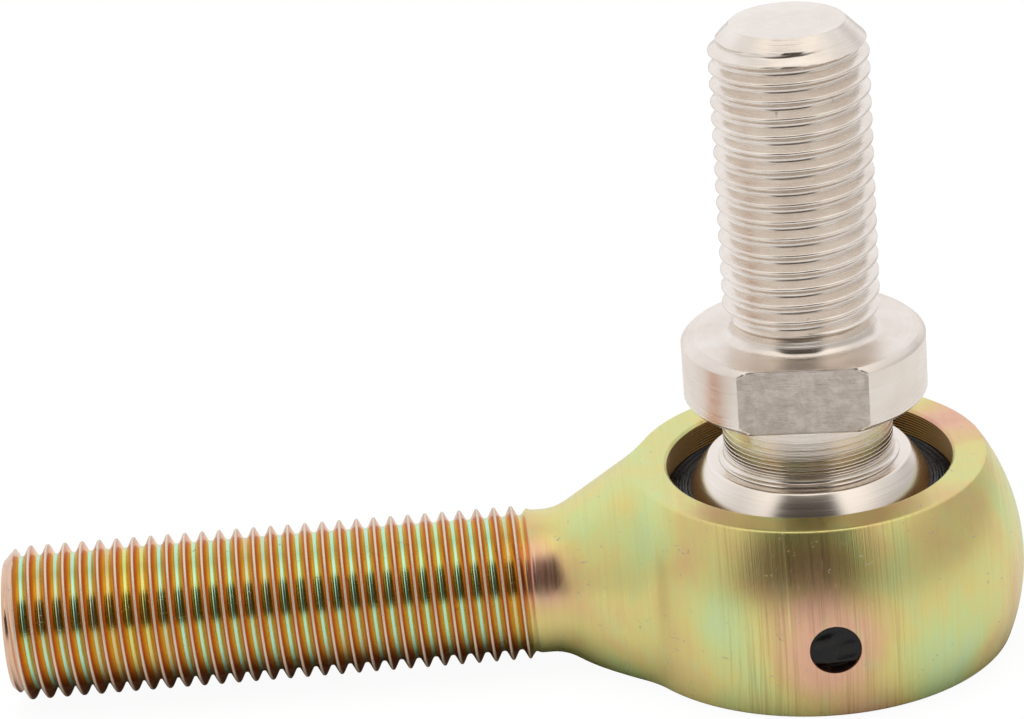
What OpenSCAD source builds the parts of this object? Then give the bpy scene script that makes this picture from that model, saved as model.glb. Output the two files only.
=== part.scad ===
// Male rod end with a moulded race and a threaded ball stud, 3/8-24 UNF on both threads.
// Origin: centre of the ball. +Z: along the stud, towards its tip. -X: towards the shank's end.
// The shank's axis runs along X, a little below the ball's centre.

/* [Threads] */
// Major diameter of both threads
thread_d = 9.45; // [9.3:0.01:9.5]
// Distance from crest to crest
thread_pitch = 1.0583; // [1.0:0.0001:1.1]
// Depth from crest to root
thread_depth = 0.61; // [0.5:0.01:0.65]

/* [Body] */
// Diameter of the ball-shaped head, turned about the shank's axis
head_d = 25.6; // [25.2:0.1:26.4]
// Distance between the two flat faces of the head
head_thickness = 11.6; // [11:0.1:11.8]
// Height of the upper flat face above the ball's centre
face_height = 5.4; // [5.2:0.05:5.6]
// How far the shank's axis lies below the ball's centre
shank_drop = 1.6; // [1.2:0.05:1.8]
// Distance from the ball's centre to the shank's end
shank_reach = 49.6; // [49.2:0.1:52]
// Number of thread turns on the shank
shank_turns = 29; // [20:1:29]
// Diameter of the plain land behind the shank's thread
land_d = 8.8; // [8.5:0.1:9.4]
// Distance from the ball's centre to the narrow end of the flare
flare_start = 16.5; // [16.3:0.1:17.3]
// Half angle of the flare between land and head
flare_angle = 31; // [27:1:33]
// Radius that blends the land into the flare
land_fillet = 3; // [2:0.5:4]
// Radius that blends the flare into the head
head_fillet = 5; // [4:0.5:8]

/* [Race] */
// Diameter of the head's bore at its two mouths
bore_d = 17.4; // [17.3:0.05:17.6]
// Diameter of the undercut that locks the race in the head
undercut_d = 19.4; // [19:0.1:20]
// Width of the undercut along the bore
undercut_w = 5.2; // [4.6:0.1:5.6]
// Distance between the two ends of the race
race_w = 7.4; // [7:0.1:8]
// Diameter of the hole the race was moulded through
gate_d = 3.0; // [2:0.1:3.2]
// Distance of the gate hole's axis above the shank's axis
gate_rise = 0.15; // [0:0.05:0.3]
// Depth from the head's surface down to the outer end of the gate plug
gate_recess = 0.55; // [0.2:0.05:0.8]

/* [Ball] */
// Diameter of the ball
ball_d = 16.7; // [16.6:0.05:16.8]
// Distance between the ball's two flat ends
ball_w = 11.4; // [11:0.1:11.6]
// Diameter of the stud's spigot through the ball
spigot_d = 7.94; // [7.5:0.01:8.2]

/* [Stud] */
// Diameter of the neck between ball and collar
neck_d = 10.3; // [9.8:0.1:10.6]
// Height of the collar's underside above the ball's centre
collar_base = 9.6; // [9.5:0.1:10]
// Thickness of the collar
collar_t = 4.1; // [3.8:0.1:4.4]
// Diameter of the collar
collar_d = 14.7; // [14.3:0.1:14.8]
// Distance across the collar's two wrench flats
flats_w = 12.5; // [12:0.1:12.7]
// Turn of the wrench flats about the stud's axis
flats_turn = -6; // [-90:1:90]
// Height of the stud's tip above the ball's centre
stud_reach = 33.2; // [33.1:0.1:36]
// Number of thread turns on the stud
stud_turns = 16; // [10:1:16]
// Diameter of the flat tip of the stud
tip_d = 6.8; // [6:0.1:8]

/* [Fits] */
// Radial gap between the race and the head, and between the ball and the race
race_gap = 0.03; // [0.02:0.01:0.06]
// Radial gap between the stud and the ball
spigot_gap = 0.02; // [0.01:0.01:0.05]

/* [Hidden] */
$fn = 96;
eps = 0.01;
thread_r = thread_d / 2;
root_r = thread_r - thread_depth;
crest_w = thread_pitch / 8;
flank_w = thread_depth * tan(30);
root_w = thread_pitch - crest_w - 2 * flank_w;
head_r = head_d / 2;
face_base = face_height - head_thickness;
land_r = land_d / 2;
bore_r = bore_d / 2;
undercut_r = undercut_d / 2;
rim_chamfer = 0.15;
ball_r = ball_d / 2;
spigot_r = spigot_d / 2;
neck_r = neck_d / 2;
neck_fillet = 0.35;
collar_r = collar_d / 2;
collar_top = collar_base + collar_t;
edge_break = 0.35;
relief_r = root_r + 0.1;
relief_fillet = 0.7;
gate_r = gate_d / 2;
gate_z = gate_rise - shank_drop;
shank_tip_r = 4.0;
tip_r = tip_d / 2;
// the staked end of the stud fills a 45 degree countersink in the ball's lower flat
stake_depth = 0.7;
stake_setback = 0.1;
// end points of the threads, measured from the ball's centre
shank_thread_start = shank_reach - 1 - crest_w - shank_turns * thread_pitch;
stud_thread_start = stud_reach - 1.14 - crest_w - stud_turns * thread_pitch;

// Points [radius, distance] of a thread drawn as rings: a flat crest, a flank, a flat root, a flank.
function thread_points(start, turns) = concat(
    [for (i = [0 : turns - 1], p = [[thread_r, 0], [thread_r, crest_w],
                                    [root_r, crest_w + flank_w], [root_r, crest_w + flank_w + root_w]])
        [p[0], start + i * thread_pitch + p[1]]],
    [[thread_r, start + turns * thread_pitch], [thread_r, start + turns * thread_pitch + crest_w]]);

// Points of a hollow arc about centre [radius, distance], from slope angle a to slope angle b.
function hollow_arc(centre, r, a, b, steps) =
    [for (i = [0 : steps]) let (t = a + (b - a) * i / steps) centre - r * [cos(t), sin(t)]];

// The flare is a cone that leaves the land on one hollow arc and meets the head on another.
land_arc_centre = [land_r + land_fillet, flare_start];
flare_normal = [cos(flare_angle), sin(flare_angle)];
flare_along = [sin(flare_angle), -cos(flare_angle)];
flare_foot = land_arc_centre + (head_fillet - land_fillet) * flare_normal;
foot_along = flare_foot * flare_along;
head_arc_travel = -foot_along - sqrt(pow(foot_along, 2) - flare_foot * flare_foot
                                     + pow(head_r + head_fillet, 2));
head_arc_centre = flare_foot + head_arc_travel * flare_along;
head_arc_end = atan2(head_arc_centre[1], head_arc_centre[0]);

// Everything turned about the shank's axis except the head's ball: flare, land, thread and tip.
module turned_shank() {
    profile = concat(
        [[0, 0]],
        [for (i = [8 : -1 : 0]) hollow_arc(head_arc_centre, head_fillet, flare_angle, head_arc_end, 8)[i]],
        [for (i = [6 : -1 : 0]) hollow_arc(land_arc_centre, land_fillet, 0, flare_angle, 6)[i]],
        [[land_r, shank_thread_start - flank_w]],
        thread_points(shank_thread_start, shank_turns),
        [[shank_tip_r, shank_reach], [0, shank_reach]]);
    rotate([0, -90, 0]) rotate_extrude() polygon(profile);
}

// The bore through the head: two mouths with broken edges and the undercut between them.
module head_bore() {
    translate([0, 0, face_base - 1]) cylinder(r = bore_r, h = head_thickness + 2);
    translate([0, 0, -undercut_w / 2]) cylinder(r = undercut_r, h = undercut_w);
    translate([0, 0, face_height - rim_chamfer])
        cylinder(r1 = bore_r, r2 = bore_r + 2 * rim_chamfer, h = 2 * rim_chamfer);
    translate([0, 0, face_base - rim_chamfer])
        cylinder(r1 = bore_r + 2 * rim_chamfer, r2 = bore_r, h = 2 * rim_chamfer);
}

module rod_end_body() {
    color("goldenrod") difference() {
        translate([0, 0, -shank_drop]) union() {
            sphere(r = head_r);
            turned_shank();
        }
        translate([-head_r * 2, -head_r * 2, face_height]) cube([head_r * 4, head_r * 4, head_r]);
        translate([-head_r * 2, -head_r * 2, face_base - head_r])
            cube([head_r * 4, head_r * 4, head_r]);
        head_bore();
        translate([0, 0, gate_z]) rotate([90, 0, 0]) cylinder(r = gate_r, h = head_r + 1);
    }
}

// A ring that fills the bore around the ball, with moulded ridges on its two ends.
module race() {
    ridge_h = 0.14;
    ridge_w = 0.18;
    ridges = [7.75, 8.1, 8.42];
    wall_r = bore_r - race_gap;
    lock_r = undercut_r - race_gap;
    lock_h = undercut_w / 2 - race_gap;
    color("black") difference() {
        union() {
            translate([0, 0, -race_w / 2]) cylinder(r = wall_r, h = race_w);
            translate([0, 0, -lock_h]) cylinder(r = lock_r, h = 2 * lock_h);
            for (ridge_r = ridges) translate([0, 0, -race_w / 2 - ridge_h]) difference() {
                cylinder(r = ridge_r + ridge_w / 2, h = race_w + 2 * ridge_h);
                translate([0, 0, -1]) cylinder(r = ridge_r - ridge_w / 2, h = race_w + 3);
            }
        }
        sphere(r = ball_r + race_gap);
    }
}

// Race material left in the gate hole, from the undercut out to just below the head's surface.
module gate_plug() {
    plug_r = gate_r - eps;
    plug_end = sqrt(pow(head_r, 2) - pow(gate_rise, 2)) - gate_recess;
    color("black") difference() {
        translate([0, 0, gate_z]) rotate([90, 0, 0]) cylinder(r = plug_r, h = plug_end);
        translate([0, 0, -head_r]) cylinder(r = undercut_r, h = head_d);
    }
}

module ball() {
    hole_r = spigot_r + spigot_gap;
    color("silver") difference() {
        sphere(r = ball_r);
        translate([-ball_r, -ball_r, ball_w / 2]) cube(ball_d);
        translate([-ball_r, -ball_r, -ball_w / 2 - ball_d]) cube(ball_d);
        translate([0, 0, -ball_w]) cylinder(r = hole_r, h = 2 * ball_w);
        translate([0, 0, -ball_w / 2 - eps])
            cylinder(r1 = hole_r + stake_depth + eps, r2 = hole_r, h = stake_depth + eps);
    }
}

// The stud as turned: staked end, spigot, neck, collar, thread relief, thread and chamfered tip.
module turned_stud() {
    shoulder = ball_w / 2 + spigot_gap;
    stake_end = -ball_w / 2 + stake_setback;
    stake_start = -ball_w / 2 + stake_depth - spigot_gap;
    profile = concat(
        [[0, stake_end],
         [spigot_r + stake_start - stake_end, stake_end],
         [spigot_r, stake_start],
         [spigot_r, shoulder],
         [neck_r + neck_fillet, shoulder]],
        hollow_arc([neck_r + neck_fillet, shoulder + neck_fillet], neck_fillet, 90, 0, 5),
        [[neck_r, collar_base],
         [collar_r - edge_break, collar_base],
         [collar_r, collar_base + edge_break],
         [collar_r, collar_top - edge_break],
         [collar_r - edge_break, collar_top],
         [relief_r + relief_fillet, collar_top]],
        hollow_arc([relief_r + relief_fillet, collar_top + relief_fillet], relief_fillet, 90, 0, 5),
        [[relief_r, stud_thread_start - flank_w]],
        thread_points(stud_thread_start, stud_turns),
        [[tip_r, stud_reach], [0, stud_reach]]);
    rotate_extrude() polygon(profile);
}

module stud() {
    color("lightgray") difference() {
        turned_stud();
        for (side = [0, 180]) rotate([0, 0, flats_turn + side])
            translate([-collar_r, flats_w / 2, collar_base - 1]) cube([collar_d, collar_r, collar_t + 1.02]);
    }
}

rod_end_body();
race();
gate_plug();
ball();
stud();
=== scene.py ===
# %% [markdown]
# # A rod end bearing, built and finished in Blender
# The object is a male rod end: a yellow-plated steel eye on a threaded shank, a black race moulded
# inside the eye, a polished ball, and a nickel-plated stud that tilts and spins with the ball.
# The fixed frame comes first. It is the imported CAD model, and every size below fits inside it.

# %% Load the frame
import math
import bpy
import bmesh
import numpy as np
from mathutils import Matrix, Vector


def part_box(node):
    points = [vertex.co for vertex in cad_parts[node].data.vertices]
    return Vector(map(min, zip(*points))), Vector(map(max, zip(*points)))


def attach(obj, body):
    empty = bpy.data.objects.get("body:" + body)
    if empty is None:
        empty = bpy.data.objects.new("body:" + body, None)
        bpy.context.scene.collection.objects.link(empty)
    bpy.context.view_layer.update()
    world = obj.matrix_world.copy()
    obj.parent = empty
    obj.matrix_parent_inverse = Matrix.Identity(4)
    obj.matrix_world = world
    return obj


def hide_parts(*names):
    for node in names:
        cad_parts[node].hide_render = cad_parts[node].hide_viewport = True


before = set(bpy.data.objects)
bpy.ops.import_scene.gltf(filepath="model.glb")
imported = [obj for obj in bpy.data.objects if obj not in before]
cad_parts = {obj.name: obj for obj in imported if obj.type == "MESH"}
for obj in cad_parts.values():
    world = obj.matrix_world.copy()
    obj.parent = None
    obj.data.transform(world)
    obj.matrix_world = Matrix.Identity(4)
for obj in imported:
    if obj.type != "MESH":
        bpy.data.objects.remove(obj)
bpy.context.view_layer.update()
MM = 0.001

# %% [markdown]
# Sizes come from the frame where a node's box gives them, and are named here where it doesn't.
# Everything is worked out in millimetres and turned into metres when a mesh is made.

# %% Sizes in millimetres
def node_box(name):
    low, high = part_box(name)
    return np.array(low) / MM, np.array(high) / MM


body_low, body_high = node_box("rod_end_body")
race_high, ball_high, stud_high = (node_box(name)[1] for name in ("race", "ball", "stud"))

HEAD_R = body_high[0]
FACE_TOP, FACE_BASE = body_high[2], -6.2
SHANK_AXIS = -1.6
SHANK_TIP = -body_low[0]
THREAD_R = 4.725
THREAD_DEPTH = 0.61
PITCH = 1.0583
LAND_R = 4.4
FLARE_START = 16.5
FLARE_ANGLE = math.radians(31)
LAND_FILLET = 3.0
HEAD_FILLET = 5.0
BORE_R = 8.7
UNDERCUT_R, UNDERCUT_HALF = 9.7, 2.6
GATE_R = 1.5
GATE_Z = -1.45
RACE_R = BORE_R - 0.03
RACE_LOCK_R = race_high[0]
RACE_HALF = 3.7
BALL_R, BALL_HALF = ball_high[0], ball_high[2]
SPIGOT_R = 3.97
NECK_R = 5.15
COLLAR_R = 7.35
COLLAR_BASE, COLLAR_TOP = 9.6, 13.7
FLAT_DISTANCE, FLAT_TURN = 6.25, math.radians(-6)
RELIEF_R = 4.215
STUD_TIP, STUD_TIP_R = stud_high[2], 3.4
print("head radius", round(HEAD_R, 2), "shank tip at", round(SHANK_TIP, 2), "stud tip at", round(STUD_TIP, 2))

# %% [markdown]
# ## Helpers
# A mesh is made from a grid of points: rows along one direction, columns along the other. Faces join
# neighbours, and points that fall on each other are merged, which closes seams and poles.

# %% Mesh helpers
def grid_faces(columns, rows, wrap_columns=True, wrap_rows=False, skip_rows=()):
    """Quads between neighbours of a grid whose points are numbered column by column."""
    last_column = columns if wrap_columns else columns - 1
    last_row = rows if wrap_rows else rows - 1
    return [(c * rows + r, ((c + 1) % columns) * rows + r,
             ((c + 1) % columns) * rows + (r + 1) % rows, c * rows + (r + 1) % rows)
            for c in range(last_column) for r in range(last_row) if r not in skip_rows]


def mesh_object(name, parts, merge=2e-3):
    """One object from several (points in mm, faces) parts, welded where they meet, facing outwards."""
    points, faces = [], []
    for part_points, part_faces in parts:
        shift = len(points)
        points.extend(np.asarray(part_points, float).reshape(-1, 3) * MM)
        faces.extend(tuple(i + shift for i in face) for face in part_faces)
    mesh = bpy.data.meshes.new(name)
    mesh.from_pydata([tuple(p) for p in points], [], faces)
    work = bmesh.new()
    work.from_mesh(mesh)
    bmesh.ops.remove_doubles(work, verts=work.verts, dist=merge * MM)
    bmesh.ops.dissolve_degenerate(work, dist=1e-8, edges=work.edges)
    # points left over where a block of faces was taken out belong to no face
    bmesh.ops.delete(work, geom=[vert for vert in work.verts if not vert.link_faces], context="VERTS")
    bmesh.ops.recalc_face_normals(work, faces=work.faces)
    if work.calc_volume(signed=True) < 0:
        bmesh.ops.reverse_faces(work, faces=work.faces)
    open_edges = sum(1 for edge in work.edges if len(edge.link_faces) != 2)
    work.to_mesh(mesh)
    work.free()
    mesh.shade_smooth()
    made = bpy.data.objects.new(name, mesh)
    bpy.context.scene.collection.objects.link(made)
    print(name, len(mesh.polygons), "faces,", open_edges, "open edges")
    return made


def mesh_part(mesh):
    """The points in mm and the faces of a Blender mesh, as mesh_object() takes them."""
    points = np.empty(len(mesh.vertices) * 3)
    mesh.vertices.foreach_get("co", points)
    return points.reshape(-1, 3) / MM, [tuple(face.vertices) for face in mesh.polygons]


def disc_part(ring, centre, shares=(1, 0.93, 0.6, 0.3, 0.1, 0.0)):
    """Closes a ring of points with rings that shrink towards a centre."""
    ring, centre = np.asarray(ring), np.asarray(centre)
    points = np.array([[centre + (p - centre) * share for share in shares] for p in ring])
    return points.reshape(-1, 3), grid_faces(len(ring), len(shares))


# %% [markdown]
# ## Node trees without repetition
# Materials, the world and Geometry Nodes all use one small function that adds a node, sets it up and
# fills its inputs with values or with links from other nodes.

# %% Node helper
def add(tree, kind, inputs=None, **settings):
    node = tree.nodes.new(kind)
    for name, value in settings.items():
        setattr(node, name, value)
    for name, value in (inputs or {}).items():
        if isinstance(value, bpy.types.NodeSocket):
            tree.links.new(value, node.inputs[name])
        else:
            node.inputs[name].default_value = value
    return node


def sockets(tree, **kinds):
    """Named inputs of a Geometry Nodes tree, and one geometry output."""
    for name, kind in kinds.items():
        tree.interface.new_socket(name.replace("_", " "), in_out="INPUT", socket_type=kind)
    tree.interface.new_socket("Geometry", in_out="OUTPUT", socket_type="NodeSocketGeometry")
    return tree.nodes.new("NodeGroupInput").outputs


def finished_tree(tree, last, material):
    """Ends a tree: whatever it made becomes real mesh and gets its material."""
    real = add(tree, "GeometryNodeRealizeInstances", {"Geometry": last.outputs[0]})
    dressed = add(tree, "GeometryNodeSetMaterial", {"Geometry": real.outputs[0], "Material": material})
    add(tree, "NodeGroupOutput", {"Geometry": dressed.outputs[0]})
    return tree


def run_tree(name, tree, **values):
    """Runs a Geometry Nodes tree once and returns its result as a plain mesh."""
    holder = bpy.data.objects.new(name, bpy.data.meshes.new(name))
    bpy.context.scene.collection.objects.link(holder)
    modifier = holder.modifiers.new(name, "NODES")
    modifier.node_group = tree
    for socket in tree.interface.items_tree:
        key = socket.name.replace(" ", "_")
        if socket.in_out == "INPUT" and key in values:
            modifier[socket.identifier] = values[key]
    depsgraph = bpy.context.evaluated_depsgraph_get()
    mesh = bpy.data.meshes.new_from_object(holder.evaluated_get(depsgraph))
    bpy.data.objects.remove(holder)
    print(name, "tree made", len(mesh.vertices), "points")
    return mesh


# %% [markdown]
# ## Screw threads with Geometry Nodes
# A rolled thread is one ridge that winds round the shank. It could be a screw modifier on a zigzag, but
# the ridge also has to fade into the plain land and be cut off by the chamfered tip. So a flat grid is
# rolled into a tube, each column is pushed along by its share of a pitch, and two curves say where in
# the pitch each row lies and how high it stands. Sixteen rows draw one turn.

# %% Thread tree
ROWS_PER_TURN = 16
SEGMENTS = 96
half_pitch = [(0.0, 1.0), (0.042, 0.992), (0.074, 0.958), (0.108, 0.880), (0.152, 0.755),
              (0.330, 0.205), (0.380, 0.085), (0.445, 0.015), (PITCH / 2, 0.0)]
along = [x / PITCH for x, _ in half_pitch] + [1 - x / PITCH for x, _ in half_pitch[-2::-1]]
height = [h for _, h in half_pitch] + [h for _, h in half_pitch[-2::-1]]


def thread_tree():
    tree = bpy.data.node_groups.new("rolled thread", "GeometryNodeTree")
    given = sockets(tree, Turns="NodeSocketInt", Pitch="NodeSocketFloat", Crest_radius="NodeSocketFloat",
                    Depth="NodeSocketFloat", Foot="NodeSocketFloat", Tip="NodeSocketFloat",
                    Foot_radius="NodeSocketFloat", Tip_radius="NodeSocketFloat",
                    Run_out="NodeSocketFloat", Land="NodeSocketFloat", First_crest="NodeSocketFloat",
                    Chamfer_slope="NodeSocketFloat", Material="NodeSocketMaterial")

    def maths(operation, *values, **settings):
        return add(tree, "ShaderNodeMath", dict(enumerate(values)), operation=operation,
                   **settings).outputs[0]

    def shaped(points, factor):
        node = add(tree, "ShaderNodeFloatCurve", {"Value": factor})
        curve = node.mapping.curves[0]
        curve.points[0].location, curve.points[1].location = (0, points[0]), (1, points[-1])
        for i in range(1, ROWS_PER_TURN):
            curve.points.new(i / ROWS_PER_TURN, points[i])
        for point in curve.points:
            point.handle_type = "VECTOR"
        node.mapping.update()
        return node.outputs[0]

    rows = maths("MULTIPLY_ADD", given["Turns"], ROWS_PER_TURN, 1.0)
    grid = add(tree, "GeometryNodeMeshGrid",
               {"Size X": 1.0, "Size Y": 1.0, "Vertices X": SEGMENTS + 1, "Vertices Y": rows})
    flat = add(tree, "ShaderNodeSeparateXYZ", {0: add(tree, "GeometryNodeInputPosition").outputs[0]})
    around = maths("ADD", flat.outputs[0], 0.5)
    turn = maths("MULTIPLY", maths("ADD", flat.outputs[1], 0.5), given["Turns"])
    # a row that is meant to be whole turns must not fall just short of it
    steady = maths("ADD", turn, 1e-4)
    whole = maths("FLOOR", steady)
    share = maths("MAXIMUM", maths("SUBTRACT", turn, whole), 0.0)
    wound = maths("ADD", maths("ADD", whole, shaped(along, share)), around)
    raw = maths("MULTIPLY_ADD", wound, given["Pitch"], given["First crest"])
    reach = maths("MINIMUM", maths("MAXIMUM", raw, given["Foot"]), given["Tip"])
    root = maths("SUBTRACT", given["Crest radius"], given["Depth"])
    cut = maths("MULTIPLY_ADD", shaped(height, share), given["Depth"], root)
    land_end = maths("ADD", given["Foot"], given["Land"])
    fade = add(tree, "ShaderNodeMapRange",
               {"Value": reach, "From Min": land_end, "From Max": maths("ADD", land_end, given["Run out"])},
               interpolation_type="SMOOTHSTEP").outputs[0]
    faded = maths("MULTIPLY_ADD", fade, maths("SUBTRACT", cut, given["Foot radius"]), given["Foot radius"])
    chamfer = maths("MULTIPLY_ADD", maths("SUBTRACT", given["Tip"], reach), given["Chamfer slope"],
                    given["Tip radius"])
    radius = maths("MINIMUM", faded, chamfer)
    angle = maths("MULTIPLY", around, 2 * math.pi)
    placed = add(tree, "ShaderNodeCombineXYZ",
                 {0: maths("MULTIPLY", radius, maths("COSINE", angle)),
                  1: maths("MULTIPLY", radius, maths("SINE", angle)), 2: reach})
    rolled = add(tree, "GeometryNodeSetPosition",
                 {"Geometry": grid.outputs["Mesh"], "Position": placed.outputs[0]})
    closed = add(tree, "GeometryNodeMergeByDistance", {"Geometry": rolled.outputs[0], "Distance": 2e-6})
    return finished_tree(tree, closed, given["Material"])


rolled_thread = thread_tree()

# %% [markdown]
# ## Turned pieces with Geometry Nodes
# The ball and the race come off a lathe or out of a round mould, so each is an outline spun round an
# axis. The outline is a chain of points, and the tree reads it row by row on a grid rolled into a tube.

# %% Turning tree
def turning_tree():
    tree = bpy.data.node_groups.new("turned on a lathe", "GeometryNodeTree")
    given = sockets(tree, Outline="NodeSocketObject", Segments="NodeSocketInt", Material="NodeSocketMaterial")
    chain = add(tree, "GeometryNodeObjectInfo", {"Object": given["Outline"]})
    size = add(tree, "GeometryNodeAttributeDomainSize", {"Geometry": chain.outputs["Geometry"]})
    count = size.outputs["Point Count"]

    def maths(operation, *values):
        return add(tree, "ShaderNodeMath", dict(enumerate(values)), operation=operation).outputs[0]

    grid = add(tree, "GeometryNodeMeshGrid", {"Size X": 1.0, "Size Y": 1.0,
               "Vertices X": maths("ADD", given["Segments"], 1.0), "Vertices Y": count})
    position = add(tree, "GeometryNodeInputPosition").outputs[0]
    flat = add(tree, "ShaderNodeSeparateXYZ", {0: position})
    row = maths("ROUND", maths("MULTIPLY", maths("ADD", flat.outputs[1], 0.5), maths("SUBTRACT", count, 1.0)))
    outline = add(tree, "GeometryNodeSampleIndex", {"Geometry": chain.outputs["Geometry"],
                  "Value": position, "Index": row}, data_type="FLOAT_VECTOR")
    point = add(tree, "ShaderNodeSeparateXYZ", {0: outline.outputs[0]})
    angle = maths("MULTIPLY", maths("ADD", flat.outputs[0], 0.5), 2 * math.pi)
    placed = add(tree, "ShaderNodeCombineXYZ",
                 {0: maths("MULTIPLY", point.outputs[0], maths("COSINE", angle)),
                  1: maths("MULTIPLY", point.outputs[0], maths("SINE", angle)), 2: point.outputs[2]})
    rolled = add(tree, "GeometryNodeSetPosition",
                 {"Geometry": grid.outputs["Mesh"], "Position": placed.outputs[0]})
    closed = add(tree, "GeometryNodeMergeByDistance", {"Geometry": rolled.outputs[0], "Distance": 1e-6})
    return finished_tree(tree, closed, given["Material"])


turned = turning_tree()


def turn(name, outline, segments):
    """Spins an outline of (radius, height) points in mm round the Z axis."""
    chain = bpy.data.meshes.new("outline")
    chain.from_pydata([(r * MM, 0, z * MM) for r, z in outline],
                      [(i, i + 1) for i in range(len(outline) - 1)], [])
    holder = bpy.data.objects.new("outline", chain)
    bpy.context.scene.collection.objects.link(holder)
    mesh = run_tree(name, turned, Outline=holder, Segments=segments)
    bpy.data.objects.remove(holder)
    return mesh_part(mesh)


def rounded(before, corner, after, size, steps=3):
    """Points that round the corner of an outline, size mm back along both sides."""
    before, corner, after = (np.asarray(p, float) for p in (before, corner, after))
    start = corner + (before - corner) * size / np.linalg.norm(before - corner)
    end = corner + (after - corner) * size / np.linalg.norm(after - corner)
    made = []
    for t in np.linspace(0, 1, steps + 1):
        made.append(tuple((1 - t) ** 2 * start + 2 * t * (1 - t) * corner + t * t * end))
    back = start + (start - corner) * 0.35
    ahead = end + (end - corner) * 0.35
    return [tuple(back), *made, tuple(ahead)]


def arc(radius, start, end, steps, centre=(0, 0)):
    """Points on a circle from one angle to another, in degrees from the radius direction."""
    return [(centre[0] + radius * math.cos(math.radians(a)), centre[1] + radius * math.sin(math.radians(a)))
            for a in np.linspace(start, end, steps + 1)]

# %% [markdown]
# ## The rod end body
# The blank is turned about the shank's axis: a ball-shaped head, a hollow blend, a flare and a plain
# land. Two flat faces are milled across it and the bore goes through. Cutting a sphere with booleans
# leaves slivers along the edges, so the surface is drawn directly: every column starts at the bore's
# mouth, crosses the upper face, rolls over a broken edge, follows the outside down, and comes back
# under the head. Columns that would run into the shank stop on a ring that the thread is welded to.

# %% Outline of the blank
land_centre = np.array([LAND_R + LAND_FILLET, FLARE_START])
normal = np.array([math.cos(FLARE_ANGLE), math.sin(FLARE_ANGLE)])
slope = np.array([math.sin(FLARE_ANGLE), -math.cos(FLARE_ANGLE)])
foot = land_centre + (HEAD_FILLET - LAND_FILLET) * normal
travel = -foot @ slope - math.sqrt((foot @ slope) ** 2 - foot @ foot + (HEAD_R + HEAD_FILLET) ** 2)
head_centre = foot + travel * slope
head_end = math.atan2(head_centre[1], head_centre[0])
s_sphere = head_centre[1] - HEAD_FILLET * math.sin(head_end)
cone_top = head_centre - HEAD_FILLET * normal
cone_foot = land_centre - LAND_FILLET * normal


def blank_radius(s):
    """Radius of the blank about the shank's axis at distance s from the ball centre."""
    s = np.asarray(s, float)
    sphere = np.sqrt(np.maximum(HEAD_R ** 2 - s ** 2, 0))
    blend = head_centre[0] - np.sqrt(np.maximum(HEAD_FILLET ** 2 - (s - head_centre[1]) ** 2, 0))
    cone = cone_top[0] + (s - cone_top[1]) * (cone_foot[0] - cone_top[0]) / (cone_foot[1] - cone_top[1])
    neck = land_centre[0] - np.sqrt(np.maximum(LAND_FILLET ** 2 - (s - land_centre[1]) ** 2, 0))
    flare = np.where(s < cone_foot[1], cone, neck)
    return np.where(s < s_sphere, sphere, np.where(s < cone_top[1], blend, flare))


def farthest(test, low, high):
    """Largest distance at which test is still positive, for every column at once."""
    low, high = low.copy(), high.copy()
    for _ in range(60):
        middle = (low + high) / 2
        inside = test(middle) > 0
        low, high = np.where(inside, middle, low), np.where(inside, high, middle)
    return low


# %% [markdown]
# Columns of points fan out from the bore like the spokes of a wheel. Those that meet the shank are
# placed so that they end on the thread's own points, and the others are spread evenly round the rest.

# %% Columns round the head
neck_turns = np.radians(np.linspace(-90, 90, SEGMENTS // 2 + 1))
neck_columns = np.arctan(LAND_R * np.sin(neck_turns) / FLARE_START)
other_columns = np.linspace(neck_columns[-1], 2 * math.pi - neck_columns[-1], 235)[1:-1]
columns = np.concatenate([neck_columns, other_columns])
at_neck = np.arange(len(columns)) < len(neck_columns)
front = np.cos(columns)
side = np.abs(np.sin(columns))
ones = np.ones(len(columns))
reach_side = farthest(lambda r: blank_radius(r * front) - r * side, 6 * ones, 20 * ones)
reach = np.where(at_neck, FLARE_START / np.maximum(front, 0.2), reach_side)

EDGE_BREAK = 0.13
UPPER_ROWS, LOWER_ROWS = 26, 20


def outside_rows(edge_height, rows):
    """Per column, points (distance, height over the shank's axis) from a face's edge to mid-height."""
    edge = farthest(lambda r: blank_radius(r * front) ** 2 - (r * side) ** 2 - edge_height ** 2,
                    3 * ones, reach)
    t = np.linspace(0, 1, 400)
    made = []
    for k in range(len(columns)):
        distance = reach[k] - (reach[k] - edge[k]) * (1 - t) ** 2
        high = np.sqrt(np.maximum(blank_radius(distance * front[k]) ** 2 - (distance * side[k]) ** 2, 0))
        if not at_neck[k]:
            high[-1] = 0
        length = np.concatenate([[0], np.cumsum(np.hypot(np.diff(distance), np.diff(high)))])
        start = np.array([edge[k] - EDGE_BREAK, edge_height])
        corner = np.array([edge[k], edge_height])
        end = np.array([np.interp(EDGE_BREAK, length, distance), np.interp(EDGE_BREAK, length, high)])
        bend = [(1 - u) ** 2 * start + 2 * u * (1 - u) * corner + u * u * end
                for u in (0, 0.25, 0.5, 0.75, 1)]
        places = np.concatenate([[EDGE_BREAK + 0.04], np.linspace(EDGE_BREAK + 0.15, length[-1], rows)])
        rest = np.stack([np.interp(places, length, distance), np.interp(places, length, high)], 1)
        made.append(np.vstack([bend, rest]))
    return np.array(made)


upper = outside_rows(FACE_TOP - SHANK_AXIS, UPPER_ROWS)
lower = outside_rows(SHANK_AXIS - FACE_BASE, LOWER_ROWS)
upper[:, :, 1] += SHANK_AXIS
lower[:, :, 1] = SHANK_AXIS - lower[:, :, 1]
print("columns", len(columns), "flat faces end at", np.round([upper[24, 2, 0], lower[24, 2, 0]], 2), "mm")

# %% [markdown]
# The bore is turned too. Its mouth shows the tool's feed as a dozen fine grooves above the race.

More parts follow.
